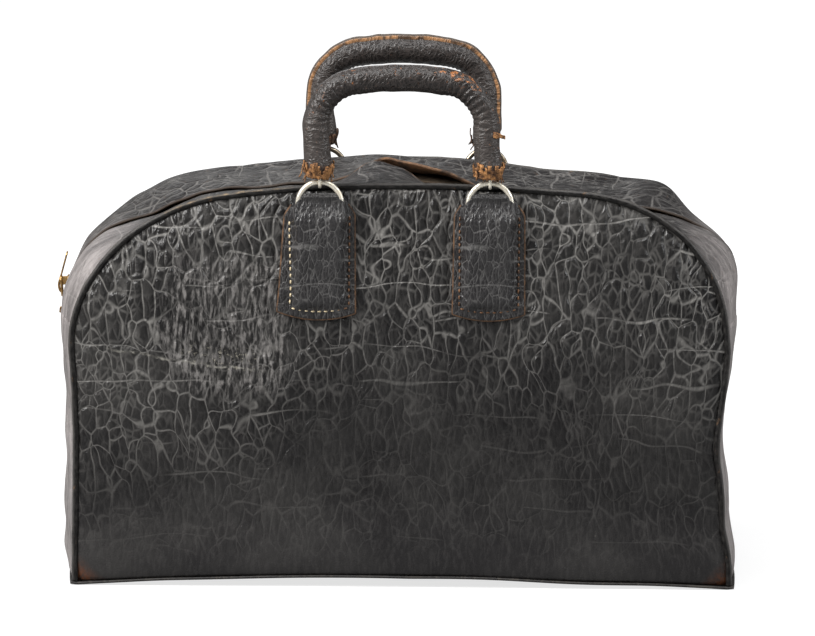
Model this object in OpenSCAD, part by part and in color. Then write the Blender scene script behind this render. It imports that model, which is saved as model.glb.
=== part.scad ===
// Zip-topped leather doctor bag: two domed panels joined by a gusset, a zip
// over the top, and two rolled handles on rings.
// X runs along the bag, -Y is the front, Z is up. Origin: middle of the base's underside.

/* [Body] */
// Length of a side panel, seam to seam
body_w = 444; // [400:2:480]
// Height of the seam at the middle of the top
body_h = 273; // [250:1:300]
// Depth between the two panels' faces
body_d = 160; // [150:2:200]
// Radius of the panel's two top corners
corner_r = 110; // [80:5:130]
// Radius of the slight arch along the top
top_r = 1560; // [1200:20:3000]
// How far the gusset stands out at the zip
bulge = 12; // [6:0.5:14]
// Thickness of the leather
leather_t = 2; // [1.6:0.1:2.4]

/* [Seams] */
// Outer diameter of the welt along each panel seam
welt_d = 4.4; // [3.6:0.2:5]
// Diameter of the cord inside the welt
welt_cord_d = 2.4; // [1.6:0.2:2.6]

/* [Boards and lining] */
// Thickness of the stiffening boards behind the panels
board_t = 2; // [1.5:0.1:2.5]
// Thickness of the base board
base_board_t = 3; // [2:0.5:4]
// Thickness of the cloth lining
lining_t = 0.8; // [0.5:0.1:1]

/* [Handles] */
// Distance between the centres of a handle's two legs
handle_w = 114; // [100:1:130]
// Diameter of the rolled handle
handle_d = 20; // [16:0.5:22]
// Bend radius of the handle's corners, at its centre
handle_corner_r = 30; // [25:1:35]
// Radius of the arch along the grip, at its centre
grip_r = 190; // [150:10:400]
// Height of the grip's centre above the base
grip_z = 349; // [340:1:360]
// How far a ring's plane stands off the panel
ring_standoff = 8; // [7.5:0.1:9]

/* [Rings] */
// Inner diameter of a handle ring
ring_id = 25.4; // [24:0.2:27]
// Wire diameter of a handle ring
ring_wire = 3.5; // [3:0.1:3.8]
// Height of a ring's centre above the base
ring_z = 265; // [260:1:268]

/* [Tabs] */
// Width of a handle tab
tab_w = 48; // [44:1:54]
// Height of a tab's lowest point above the base
tab_z = 184; // [170:1:195]
// Height of a tab's shoulders above the base
shoulder_z = 258; // [256:1:260]
// Distance between two stitches
stitch_pitch = 4.6; // [4:0.1:6]

/* [Zip] */
// Half the gap between the two leather edges along the zip
zip_gap = 7; // [6:0.5:8]
// Distance between two teeth of one row
tooth_pitch = 3.5; // [3:0.1:4]
// Angle round the corner at which the zip ends
zip_end_a = 10; // [9:1:14]
// Angle round the corner at which the slider rests
slider_a = 17; // [16:1:26]

/* [Hidden] */

$fn = 64;
black = "#2b2a2c";
edge_brown = "#5a3420";
nickel = "#c9bfae";
brass = "#b08a4a";
cloth = "#6b5a48";
card = "#8a7355";

gap = 0.2;                      // air between neighbouring layers
half_w = body_w / 2;
face_y = body_d / 2;            // outer face of a panel
seam_y = face_y - leather_t;    // plane of the seams and of the welt's centre
corner_x = half_w - corner_r;
top_a = asin(corner_x / (top_r - corner_r));
corner_z = body_h - top_r + (top_r - corner_r) * cos(top_a);
inner_y = seam_y - welt_d / 2 - gap;   // where gusset, boards' inner side and flaps start
floor_z = leather_t + gap;             // the panels stand on the base panel

board_y = seam_y - gap;                // outer face of a board
lining_y = board_y - board_t - gap;    // outer face of a panel's lining
side_inset = 3.4;                      // a board's edge inside the seam line
lining_in = leather_t + 1.4;           // a gusset lining's inner face inside the outline

tape_out = bulge - leather_t - 0.4;    // a tape's outer face above the seam radius, at the middle
tape_t = 0.6;
tape_w = 16;                           // a tape reaches this far from the middle
tooth_low = tape_out - 1.6;
tooth_high = tape_out + 1;
tooth_t = 1.3;                         // along the zip
tooth_in = 0.7;                         // meshed teeth reach this far past the middle, parted ones stop short of it
tooth_out = 3.4;
flap_gap_a = 0.3;                      // half a gap at a flap's ends, as an angle round the corner

ring_y = face_y + ring_standoff;
ring_r = (ring_id + ring_wire) / 2;
pivot_z = ring_z + ring_r;             // where a handle turns on its rings
neck_w = 21.6;                         // strap width inside the ring
fold_z = 5.5;                          // top of the strap's fold above the ring's centre
neck_low = 5;                          // bottom of the strap inside the ring, below the centre
neck_t = 4;                            // strap, two layers
wall_t = 1.8;                          // leather of the raised part
block_w = 37;                          // width of the tab's raised part
block_z = tab_z + 6;
block_top = ring_z - 3;
tab_front = ring_y + ring_wire / 2 + 1.85 + wall_t;   // face of the raised part
rim_y = face_y + gap;                  // back of the tab, on the panel
rim_t = 2;
tab_bow = 4;                           // how far a tab's foot is bowed
pocket_low = ring_z - ring_r - ring_wire / 2 - 1.5;  // the ring's lower half moves above this

leg_end_z = pivot_z + 2.8;             // lower end of a handle's leg
leg_full_z = leg_end_z + 9;            // the leg has its full thickness from here
leg_end_d = 13;
cover_t = 2.4;
flange_w = 3;                          // the handle's sewn edge, standing out
flange_t = 3.6;
flange_tilt = 30;                      // towards the middle of the bag
staple_wire = 2.2;
staple_r = ring_wire / 2 + staple_wire / 2 + 0.35;
staple_reach = 7;                      // how far a staple goes into the core

slider_len_a = 3.5;                    // half the slider's length, as an angle round the corner
slider_w = 5.2;
slider_r = corner_r + tooth_high + 0.4;   // inner face of the slider's outer plate
plate_t = 1.6;
bar_r = slider_r + plate_t + 1.1;         // the pull turns about this radius
bail_r = 3.1;
pull_len = 25;                         // the pull lies up along the zip at rest
pull_lean = 2;
pull_w = 4;
pull_t = 1.4;

// How far the gusset stands out at a distance y from the middle.
function crown(y) = bulge * (1 - pow(y / seam_y, 2));

// Points of an arc with centre [cx, cz].
function arc(cx, cz, r, a0, a1, n) =
    [for (i = [0 : n]) let (a = a0 + (a1 - a0) * i / n) [cx + r * cos(a), cz + r * sin(a)]];

// Outline of a panel, inset from the seam line, from the right foot over the top to the left.
function dome(inset, z0) = concat(
    [[half_w - inset, z0]],
    arc(corner_x, corner_z, corner_r - inset, 0, 90 - top_a, 20),
    arc(0, body_h - top_r, top_r - inset, 90 - top_a, 90 + top_a, 12),
    arc(-corner_x, corner_z, corner_r - inset, 90 + top_a, 180, 20),
    [[-half_w + inset, z0]]);

// Cross-section of a crowned strip: x is the height above the seam radius, y the distance from the middle.
function strip_section(y0, y1, low, high, n = 6) = concat(
    [for (i = [0 : n]) let (y = y0 + (y1 - y0) * i / n) [crown(y) + high, y]],
    [for (i = [n : -1 : 0]) let (y = y0 + (y1 - y0) * i / n) [crown(y) + low, y]]);

// A copy for the back, mirrored through the middle plane.
module back() { mirror([0, 1, 0]) children(); }
module left() { mirror([1, 0, 0]) children(); }

// Turns a section (x outward, y towards the front) round the right corner's axis.
module round_corner(a0, a1) {
    translate([corner_x, 0, corner_z]) rotate([90, 0, 0]) rotate([0, 0, a0])
        rotate_extrude(angle = a1 - a0, $fn = 128) translate([corner_r, 0]) children();
}

// The same along the arched top.
module along_top() {
    end_a = top_a - flap_gap_a * corner_r / top_r;
    translate([0, 0, body_h - top_r]) rotate([90, 0, 0]) rotate([0, 0, 90 - end_a])
        rotate_extrude(angle = 2 * end_a, $fn = 128) translate([top_r, 0]) children();
}

// Sweeps a section (x outward, y towards the front) along a domed path in the plane y = 0:
// two legs, two corners and an arch, which meet with a hair's breadth between them.
module dome_path(w, r, arch_r, top, z0) {
    a = asin((w / 2 - r) / (arch_r - r));
    cx = w / 2 - r;
    cz = top - arch_r + (arch_r - r) * cos(a);
    hair = 0.02;
    hair_a = hair / r * 180 / PI;
    for (side = [0, 1]) mirror([side, 0, 0]) {
        translate([w / 2, 0, z0]) mirror([0, 1, 0]) linear_extrude(height = cz - z0 - hair) children();
        translate([cx, 0, cz]) rotate([90, 0, 0])
            rotate_extrude(angle = 90 - a - hair_a) translate([r, 0]) children();
    }
    translate([0, 0, top - arch_r]) rotate([90, 0, 0]) rotate([0, 0, 90 - a])
        rotate_extrude(angle = 2 * a) translate([arch_r, 0]) children();
}
module dome_tube(w, r, arch_r, top, z0, d) { dome_path(w, r, arch_r, top, z0) circle(d = d); }

// ---- Panels, boards, lining ----

// A flat sheet in the panel's outline, its outer face at y = -face.
module sheet(inset, z0, face, t) {
    translate([0, t - face, 0]) rotate([90, 0, 0])
        linear_extrude(height = t) polygon(dome(inset, z0));
}

module panel() { color(black) sheet(welt_d / 2 + gap, floor_z, face_y, leather_t - gap); }
module board() { color(card) sheet(side_inset, floor_z + gap, board_y, board_t); }
module panel_lining() {
    color(cloth) sheet(lining_in + gap, floor_z + base_board_t + gap, lining_y, lining_t);
}

// The base follows the bulge of the gussets at both ends.
module base_panel() {
    ends = [for (i = [0 : 12]) let (y = -seam_y + 2 * seam_y * i / 12) [half_w + crown(y), y]];
    color(black) linear_extrude(height = leather_t) polygon(concat(
        [[half_w, -face_y]], ends, [[half_w, face_y], [-half_w, face_y]],
        [for (i = [12 : -1 : 0]) [-ends[i][0], ends[i][1]]], [[-half_w, -face_y]]));
}
module base_board() {
    color(card) translate([-half_w + 3, -lining_y + gap, floor_z])
        cube([body_w - 6, 2 * (lining_y - gap), base_board_t]);
}
module base_lining() {
    z = floor_z + base_board_t + gap;
    color(cloth) translate([-half_w + 4, -lining_y + lining_t + gap, z])
        cube([body_w - 8, 2 * (lining_y - lining_t - gap), lining_t]);
}

// ---- Gusset ----

// The lower gusset, in one piece from front seam to back seam, up to the zip's end.
module side_strip(low, high, y1, z0) {
    translate([half_w, 0, z0]) linear_extrude(height = corner_z - z0)
        polygon(strip_section(-y1, y1, low, high, 10));
    round_corner(0, zip_end_a) polygon(strip_section(-y1, y1, low, high, 10));
}
module side_gusset() { color(black) side_strip(-leather_t, 0, inner_y, floor_z); }
module side_lining() {
    color(cloth) {
        side_strip(-lining_in, -lining_in + lining_t, lining_y - lining_t - gap,
            floor_z + base_board_t + lining_t + 2 * gap);
        for (side = [0, 1]) mirror([0, side, 0])
            round_corner(zip_end_a + gap, 90 - top_a - flap_gap_a)
                polygon(strip_section(tape_w + gap, lining_y - lining_t - gap, -lining_in, -lining_in + lining_t));
    }
}

// The upper gusset beside the zip: round one corner, and along the top.
module corner_gusset() {
    color(black) round_corner(zip_end_a + gap, 90 - top_a - flap_gap_a)
        polygon(strip_section(zip_gap, inner_y, -leather_t, 0));
}
module top_gusset() {
    color(black) along_top() polygon(strip_section(zip_gap, inner_y - 1.2, -leather_t, 0));
}
module top_lining() {
    color(cloth) along_top()
        polygon(strip_section(tape_w + gap, inner_y - 3, -lining_in, -lining_in + lining_t));
}

// ---- Piping ----

module piping() {
    color(black) translate([0, -seam_y, 0]) dome_path(body_w, corner_r, top_r, body_h, floor_z)
        tube_section(welt_d, welt_cord_d + 0.2);
}
module tube_section(outer, inner) {
    difference() {
        circle(d = outer);
        circle(d = inner);
    }
}
module piping_cord() {
    color(cloth) translate([0, -seam_y, 0])
        dome_tube(body_w, corner_r, top_r, body_h, floor_z, welt_cord_d);
}

// ---- Zip ----

module tape_section() {
    top = -leather_t - 0.4;
    polygon(strip_section(tooth_out + 0.1, tape_w, top - tape_t, top, 4));
}
module corner_tapes() {
    color(cloth) for (side = [0, 1]) mirror([0, side, 0])
        round_corner(zip_end_a + gap, 90 - top_a - flap_gap_a) tape_section();
}
module top_tape() { color(cloth) along_top() tape_section(); }

// A row of teeth about the axis at [cx, cz], at radius r, between two angles. Each tooth starts at y0.
module teeth(cx, cz, r, a0, a1, y0, shift) {
    step = tooth_pitch / r * 180 / PI;
    count = floor((a1 - a0) / step - shift);
    translate([cx, 0, cz]) rotate([90, 0, 0]) for (i = [0 : count - 1])
        rotate([0, 0, a0 + (i + 0.5 + shift) * step])
            translate([r + tooth_low, -tooth_t / 2, y0])
                cube([tooth_high - tooth_low, tooth_t, tooth_out - y0]);
}
module corner_teeth(y0) {
    color(brass) for (side = [0, 1]) mirror([0, side, 0])
        teeth(corner_x, corner_z, corner_r, zip_end_a, 90 - top_a - flap_gap_a, y0, side / 2);
}
module top_teeth(shift) {
    end_a = top_a - flap_gap_a * corner_r / top_r;
    color(brass) teeth(0, body_h - top_r, top_r, 90 - end_a, 90 + end_a, -tooth_in, shift);
}
module zip_stops() {
    color(brass) {
        round_corner(zip_end_a - 2.4, zip_end_a - 0.6) stop_section(tooth_out);
        left() for (side = [0, 1]) mirror([0, side, 0])
            round_corner(zip_end_a - 1.8, zip_end_a - 0.6)
                translate([0, tooth_in]) stop_section((tooth_out - tooth_in) / 2);
    }
}
module stop_section(half) {
    translate([bulge + gap, -half]) square([1.2, 2 * half]);
}

// ---- Slider and pull, at the left end of the zip ----

module slider_part(low, high, y0, y1, a0 = -slider_len_a, a1 = slider_len_a) {
    round_corner(slider_a + a0, slider_a + a1)
        translate([low - corner_r, y0]) square([high - low, y1 - y0]);
}
// Places children drawn along +X (outward) and +Z (towards the top) at the slider, on the right corner.
module at_slider(r) {
    translate([corner_x, 0, corner_z]) rotate([0, -slider_a, 0]) translate([r, 0, 0]) children();
}
module zip_slider() {
    low = corner_r + tooth_low - 0.4;
    flange_low = corner_r + tape_out + 0.5;
    color(brass) left() {
        slider_part(slider_r, slider_r + plate_t, -slider_w, slider_w);
        slider_part(low - plate_t, low, -slider_w, slider_w);
        slider_part(low, slider_r, -0.4, 0.4, -slider_len_a, -slider_len_a + 1.4);
        for (side = [-1, 1])
            slider_part(flange_low, slider_r, side * (slider_w - 0.4) - 0.4, side * (slider_w - 0.4) + 0.4);
        at_slider(slider_r + plate_t - 0.1) rotate([90, 0, 0]) rotate([0, 0, -90])
            rotate_extrude(angle = 180) translate([bail_r, 0]) circle(d = 1.6);
    }
}
module zip_pull() {
    color(brass) left() at_slider(bar_r) rotate([0, -pull_lean, 0]) {
        rotate([90, 0, 0]) translate([0, 0, -pull_w]) cylinder(d = pull_t, h = 2 * pull_w);
        difference() {
            union() {
                for (side = [-1, 1]) translate([-pull_t / 2, side * (pull_w - 0.6) - 0.6, 0])
                    cube([pull_t, 1.2, 7]);
                translate([-pull_t / 2, -pull_w, 6]) cube([pull_t, 2 * pull_w, pull_len - pull_w - 6]);
                translate([-pull_t / 2, 0, pull_len - pull_w]) rotate([0, 90, 0]) cylinder(r = pull_w, h = pull_t);
            }
            translate([-pull_t, 0, pull_len - pull_w]) rotate([0, 90, 0]) cylinder(r = 2, h = 2 * pull_t);
        }
    }
}

// ---- Tabs: a strap folded through the ring, spreading into a stitched, raised tab ----

// A box given by its x half-width, y range (positive is towards the front) and z range.
module tab_box(hw, y0, y1, z0, z1) {
    translate([-hw, -y1, z0]) cube([2 * hw, y1 - y0, z1 - z0]);
}
function bow_radius() = (tab_w * tab_w / 4 + tab_bow * tab_bow) / (2 * tab_bow);
module tab_outline() {
    bow_r = bow_radius();
    bow_a = asin(tab_w / 2 / bow_r);
    polygon(concat([[tab_w / 2, shoulder_z], [-tab_w / 2, shoulder_z]],
        arc(0, tab_z + bow_r, bow_r, -90 - bow_a, -90 + bow_a, 12)));
}
module tab() {
    inner_face = tab_front - wall_t;
    color(black) {
        difference() {
            union() {
                translate([0, -rim_y, 0]) rotate([90, 0, 0]) linear_extrude(height = rim_t) tab_outline();
                tab_box(block_w / 2, rim_y, tab_front, block_z, block_top);
            }
            tab_box(block_w / 2 - wall_t, rim_y + rim_t, inner_face, block_z + wall_t, pocket_low - wall_t);
            tab_box(block_w / 2 - wall_t, rim_y + rim_t, inner_face, pocket_low, block_top + 1);
        }
        tab_box(neck_w / 2, rim_y, rim_y + rim_t, shoulder_z - 1, ring_z - neck_low + 1);
        tab_box(neck_w / 2, rim_y, tab_front, ring_z - neck_low, ring_z - neck_low + 3);
        tab_box(neck_w / 2, ring_y - neck_t / 2, ring_y + neck_t / 2, ring_z - neck_low, ring_z + fold_z - neck_t / 2);
        translate([-neck_w / 2, -ring_y, ring_z + fold_z - neck_t / 2])
            rotate([0, 90, 0]) cylinder(d = neck_t, h = neck_w);
    }
}
module filler() {
    color(card) tab_box(block_w / 2 - wall_t - gap, rim_y + rim_t + gap, tab_front - wall_t - gap,
        block_z + wall_t + gap, pocket_low - wall_t - gap);
}
// Stitches down both sides of a tab and along its bowed foot.
module stitches() {
    row_x = tab_w / 2 - 4;
    rows = floor((shoulder_z - 4 - block_z) / stitch_pitch);
    foot = floor(2 * (row_x - 2) / stitch_pitch);
    bow_r = bow_radius();
    color("#b9a27a") {
        for (side = [-1, 1], i = [0 : rows])
            stitch(side * row_x, block_z + 1 + i * stitch_pitch, 0);
        for (i = [0 : foot]) {
            x = (i - foot / 2) * stitch_pitch;
            stitch(x - 1.4, tab_z + 3.4 + bow_r - sqrt(bow_r * bow_r - x * x), 90);
        }
    }
}
module stitch(x, z, a) {
    translate([x, -rim_y - rim_t - 0.5, z]) rotate([0, a, 0]) cylinder(d = 0.9, h = 2.8, $fn = 16);
}

// ---- Rings ----

module ring() {
    color(nickel) translate([0, -ring_y, ring_z]) rotate([90, 0, 0])
        rotate_extrude() translate([ring_r, 0]) circle(d = ring_wire);
}

// ---- Handles ----

module handle_cover() {
    bore = handle_d - 2 * cover_t;
    hole = 2 * staple_r + staple_wire + 0.6;
    color(black) translate([0, -ring_y, 0]) {
        dome_path(handle_w, handle_corner_r, grip_r, grip_z, leg_full_z) difference() {
            union() {
                circle(d = handle_d);
                rotate(-flange_tilt) translate([handle_d / 2 - 1, -flange_t / 2]) square([flange_w + 1, flange_t]);
            }
            circle(d = bore);
        }
        for (side = [-1, 1]) translate([side * handle_w / 2, 0, leg_end_z]) difference() {
            cylinder(d1 = leg_end_d, d2 = handle_d, h = leg_full_z - leg_end_z);
            translate([0, 0, -1]) cylinder(d = hole, h = leg_full_z - leg_end_z + 2);
        }
    }
}
module handle_core() {
    z0 = leg_full_z + gap;
    hole_h = staple_reach + 0.5;
    color(card) translate([0, -ring_y, 0]) {
        dome_tube(handle_w, handle_corner_r, grip_r, grip_z, z0 + hole_h, handle_d - 2 * cover_t - 2 * gap);
        for (side = [-1, 1]) translate([side * handle_w / 2, 0, z0]) linear_extrude(height = hole_h) difference() {
            circle(d = handle_d - 2 * cover_t - 2 * gap);
            for (s = [-1, 1]) translate([0, s * staple_r]) circle(d = staple_wire + 0.1);
        }
    }
}
// Wire staples: a half ring round the handle ring, with both ends up in the core.
module handle_staples() {
    color(nickel) for (side = [-1, 1]) translate([side * handle_w / 2, -ring_y, pivot_z]) {
        rotate([90, 0, 90]) rotate([0, 0, 180]) rotate_extrude(angle = 180)
            translate([staple_r, 0]) circle(d = staple_wire);
        for (s = [-1, 1]) translate([0, s * staple_r, 0])
            cylinder(d = staple_wire, h = leg_full_z + gap + staple_reach - pivot_z);
    }
}

// ---- Assembly ----

module at_side(side) { translate([side * handle_w / 2, 0, 0]) children(); }

panel();  // front_panel
back() panel();  // back_panel
base_panel();
left() side_gusset();  // left_gusset
side_gusset();  // right_gusset
left() corner_gusset();  // front_left_corner
corner_gusset();  // front_right_corner
back() left() corner_gusset();  // back_left_corner
back() corner_gusset();  // back_right_corner
top_gusset();  // front_top_gusset
back() top_gusset();  // back_top_gusset
piping();  // front_piping
back() piping();  // back_piping
piping_cord();  // front_piping_cord
back() piping_cord();  // back_piping_cord
board();  // front_board
back() board();  // back_board
base_board();
panel_lining();  // front_lining
back() panel_lining();  // back_lining
base_lining();
left() side_lining();  // left_lining
side_lining();  // right_lining
top_lining();  // front_top_lining
back() top_lining();  // back_top_lining
left() corner_tapes();  // left_zip_tape
corner_tapes();  // right_zip_tape
top_tape();  // front_zip_tape
back() top_tape();  // back_zip_tape
left() corner_teeth(tooth_in);  // left_zip_teeth
corner_teeth(-tooth_in);  // right_zip_teeth
top_teeth(0);  // front_zip_teeth
back() top_teeth(0.5);  // back_zip_teeth
zip_stops();
zip_slider();
zip_pull();
at_side(-1) tab();  // front_left_tab
at_side(1) tab();  // front_right_tab
back() at_side(-1) tab();  // back_left_tab
back() at_side(1) tab();  // back_right_tab
at_side(-1) filler();  // front_left_filler
at_side(1) filler();  // front_right_filler
back() at_side(-1) filler();  // back_left_filler
back() at_side(1) filler();  // back_right_filler
for (side = [-1, 1]) at_side(side) stitches();  // front_tab_stitches
back() for (side = [-1, 1]) at_side(side) stitches();  // back_tab_stitches
at_side(-1) ring();  // front_left_ring
at_side(1) ring();  // front_right_ring
back() at_side(-1) ring();  // back_left_ring
back() at_side(1) ring();  // back_right_ring
handle_cover();  // front_handle_cover
handle_core();  // front_handle_core
handle_staples();  // front_handle_staples
back() handle_cover();  // back_handle_cover
back() handle_core();  // back_handle_core
back() handle_staples();  // back_handle_staples
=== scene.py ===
import math

import bpy
import numpy as np
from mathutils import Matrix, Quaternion, Vector


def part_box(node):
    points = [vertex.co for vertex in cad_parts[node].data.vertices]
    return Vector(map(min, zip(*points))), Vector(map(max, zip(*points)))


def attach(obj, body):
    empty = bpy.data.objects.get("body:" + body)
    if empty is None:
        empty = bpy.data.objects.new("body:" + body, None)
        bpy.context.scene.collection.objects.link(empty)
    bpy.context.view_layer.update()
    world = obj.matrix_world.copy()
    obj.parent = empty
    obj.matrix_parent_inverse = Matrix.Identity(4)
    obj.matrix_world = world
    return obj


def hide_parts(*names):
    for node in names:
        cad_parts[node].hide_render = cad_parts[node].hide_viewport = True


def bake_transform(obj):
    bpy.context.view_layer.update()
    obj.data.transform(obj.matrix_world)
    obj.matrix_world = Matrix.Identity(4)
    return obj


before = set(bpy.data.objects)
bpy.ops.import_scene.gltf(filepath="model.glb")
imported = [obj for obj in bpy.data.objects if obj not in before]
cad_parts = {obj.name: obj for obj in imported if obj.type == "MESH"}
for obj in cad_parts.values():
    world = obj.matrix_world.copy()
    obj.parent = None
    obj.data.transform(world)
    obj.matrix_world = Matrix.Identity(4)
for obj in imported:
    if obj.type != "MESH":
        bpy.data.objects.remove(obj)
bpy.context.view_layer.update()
rng = np.random.default_rng(11)


class Outline:
    """Two straight legs, two round corners and a shallow arch, followed by arc length from the right foot."""

    def __init__(self, half, top, foot, corner, arch):
        self.foot, self.corner, self.arch = foot, corner, arch
        self.cx = half - corner
        self.turn = math.asin(self.cx / (arch - corner))
        self.mid = top - arch
        self.cz = self.mid + (arch - corner) * math.cos(self.turn)
        self.leg = self.cz - foot
        self.arc = corner * (math.pi / 2 - self.turn)
        self.total = 2 * (self.leg + self.arc + self.turn * arch)

    def at(self, s, off=0.0):
        """Points off metres outside the outline, and its outward normals: x, z, nx, nz."""
        s = np.asarray(s, float)
        t = np.minimum(s, self.total - s)
        side = np.where(s <= self.total / 2, 1.0, -1.0)
        on_arch = math.pi / 2 - self.turn + (t - self.leg - self.arc) / self.arch
        low = t < self.leg + self.arc
        a = np.where(t < self.leg, 0, np.where(low, (t - self.leg) / self.corner, on_arch))
        r = np.where(low, self.corner, self.arch) + off
        x = (np.where(low, self.cx, 0) + r * np.cos(a)) * side
        z = np.where(t < self.leg, self.foot + t, np.where(low, self.cz, self.mid)) + r * np.sin(a)
        return x, z, np.cos(a) * side, np.sin(a)


# ---- Sizes, read from the frame ----
welt_lo, welt_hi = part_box("front_piping")
WELT_R = (welt_hi.y - welt_lo.y) / 2
SEAM = -(welt_hi.y + welt_lo.y) / 2
HALF = welt_hi.x - WELT_R
TOP = welt_hi.z - WELT_R
BAG = Outline(HALF, TOP, 0.0, corner=0.110, arch=1.560)
TOTAL = BAG.total
ZIP_END = BAG.leg + math.radians(10) * BAG.corner

ring_lo, ring_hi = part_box("front_right_ring")
RING = (ring_lo + ring_hi) / 2
PIVOT = ring_hi.z - (ring_hi.y - ring_lo.y) / 2
tab_lo, tab_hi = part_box("front_right_tab")
FOOT_Z, FRONT = tab_lo.z, -tab_lo.y
grip_lo, grip_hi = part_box("front_handle_cover")
LEG_END = grip_lo.z
HANDLE = Outline(RING.x, 0.349, LEG_END, corner=0.030, arch=0.190)

# ---- Thicknesses and small sizes, in metres ----
PANEL_HIDE, GUSSET_HIDE, STRAP_HIDE, TORN_HIDE = 0.0016, 0.0018, 0.0015, 0.0006
LINING, TOP_LINING, TAPE = 0.0007, 0.0006, 0.0005
LIP = 0.0062  # from the middle of the zip to the gusset's edge beside it
TOOTH_PITCH = 0.0035
STITCH_PITCH, STITCH_HALF, THREAD_R = 0.0044, 0.0009, 0.00062
HANDLE_R, CORE_R, CORD_R = 0.0090, 0.0062, 0.0011
SIDES = ((-1, "front"), (1, "back"))


# ---- Shape helpers ----
def step(v, a, b):
    t = np.clip((v - a) / (b - a), 0, 1)
    return t * t * (3 - 2 * t)


def hill(v, centre, width):
    return np.exp(-(((v - centre) / width) ** 2))


def ripple(a, b, scale, seed):
    """Smooth, repeatable unevenness from -1 to 1 over two coordinates."""
    r = np.random.default_rng(seed)
    total = np.zeros(np.broadcast(a, b).shape)
    for k in range(7):
        way, phase = r.uniform(0, 2 * math.pi, 2)
        f = (1 + 0.35 * k) / scale
        across = a * math.cos(way) + b * math.sin(way)
        total = total + np.sin(2 * math.pi * f * across + phase) / (1 + 0.4 * k)
    return total / 2.6


def dome_top(x, inset=0.0):
    """Height of the bag's outline above a point x, inset metres inside it."""
    x = np.abs(x)
    corner = BAG.cz + np.sqrt(np.maximum((BAG.corner - inset) ** 2 - np.maximum(x - BAG.cx, 0) ** 2, 0))
    arch = BAG.mid + np.sqrt((BAG.arch - inset) ** 2 - x ** 2)
    return np.where(x > (BAG.arch - inset) * math.sin(BAG.turn), corner, arch)


def inside(x, z):
    """How far a point of a panel lies inside the seam line; the bottom edge isn't counted."""
    x = np.abs(x)
    corner = BAG.corner - np.hypot(np.maximum(x - BAG.cx, 0), np.maximum(z - BAG.cz, 0))
    arch = BAG.arch - np.hypot(x, z - BAG.mid)
    return np.maximum(np.minimum(np.where((x > BAG.cx) | (z < BAG.cz), corner, 1.0), arch), 0)


def worn(p):
    """Years of use: the sides draw in at the waist, the bottom edges lift and the top is uneven."""
    x, y, z = p[..., 0], p[..., 1], p[..., 2]
    edge = step(np.abs(x) / HALF, 0.45, 1.0)
    right = 0.0010 - 0.0102 * hill(z, 0.100, 0.045) - 0.0033 * hill(z, 0.175, 0.040)
    right = right - 0.0033 * hill(z, 0.043, 0.018)
    left = 0.0006 - 0.0008 * hill(z, 0.092, 0.045) + 0.0026 * hill(z, 0.186, 0.035)
    out = p.copy()
    out[..., 0] = x + np.sign(x) * edge * np.where(x > 0, right, left)
    middle = np.maximum(1 - (np.abs(x) / HALF) ** 2.4, 0)
    lift = 0.0062 * (1 - 0.4 * hill(x, 0.125, 0.07)) * middle * np.exp(-z / 0.06)
    front = 0.0024 * step(x, -0.135, -0.045) - 0.0024 * hill(x, -0.160, 0.035)
    back = -0.0034 * hill(x, -0.125, 0.040) - 0.0048 * hill(x, 0.108, 0.048)
    top = step(z, 0.12, 0.25) * (front * step(-y, 0.0, 0.07) + back * step(y, 0.0, 0.07))
    out[..., 2] = z + lift * step(np.abs(y), 0.030, 0.074) + top
    return out


def face(x, z):
    """How far the outer face of a panel stands from the middle of the bag."""
    d = inside(x, z)
    clear = step(np.abs(x), 0.100, 0.130) + step(-z, -0.178, -0.150)  # the leather is flat behind the tabs
    soft = 0.0012 * ripple(x, z, 0.16, 3) * np.minimum(clear, 1)
    puff = 0.0030 * hill(x, -0.158, 0.05) * hill(z, 0.208, 0.05)
    puff = puff + 0.0016 * hill(x, 0.17, 0.05) * hill(z, 0.17, 0.08)
    rim = 0.0046 * (1 - np.exp(-d / 0.0085))
    foot = -0.0030 * np.exp(-np.maximum(z - 0.002, 0) / 0.005)
    return SEAM - 0.0004 + rim + foot + (soft + puff) * step(d, 0.004, 0.03) * step(z, 0.0, 0.04)


def millimetres(x, z):
    return np.stack([x, z], -1) * 1000


def link(name, verts, faces, uv, mat, smooth=True):
    mesh = bpy.data.meshes.new(name)
    mesh.from_pydata(np.asarray(verts, float).reshape(-1, 3).tolist(), [], [list(f) for f in faces])
    mesh.polygons.foreach_set("use_smooth", np.full(len(mesh.polygons), smooth))
    if uv is not None:
        layer = mesh.uv_layers.new(name="uv")
        loops = np.empty(len(mesh.loops), np.int32)
        mesh.loops.foreach_get("vertex_index", loops)
        layer.data.foreach_set("uv", np.asarray(uv, np.float32).reshape(-1, 2)[loops].ravel())
    obj = bpy.data.objects.new(name, mesh)
    bpy.context.scene.collection.objects.link(obj)
    mesh.materials.append(mat)
    return obj


def quads(n, m, wrap_n=False, wrap_m=False, flip=False):
    """The faces of a grid of n by m points, closed on itself along either way."""
    i, j = np.meshgrid(np.arange(n - (not wrap_n)), np.arange(m - (not wrap_m)), indexing="ij")
    i2, j2 = (i + 1) % n, (j + 1) % m
    f = np.stack([i * m + j, i2 * m + j, i2 * m + j2, i * m + j2], -1).reshape(-1, 4)
    return f[:, ::-1] if flip else f


def thickened(obj, thick):
    solid = obj.modifiers.new("thickness", "SOLIDIFY")
    solid.thickness, solid.offset = thick, -1
    return solid


def softened(obj, width, segments=2):
    soft = obj.modifiers.new("soft_edges", "BEVEL")
    soft.width, soft.segments = width, segments


def applied(obj, modifier):
    bpy.context.view_layer.objects.active = obj
    bpy.ops.object.modifier_apply(modifier=modifier)
    return obj


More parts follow.
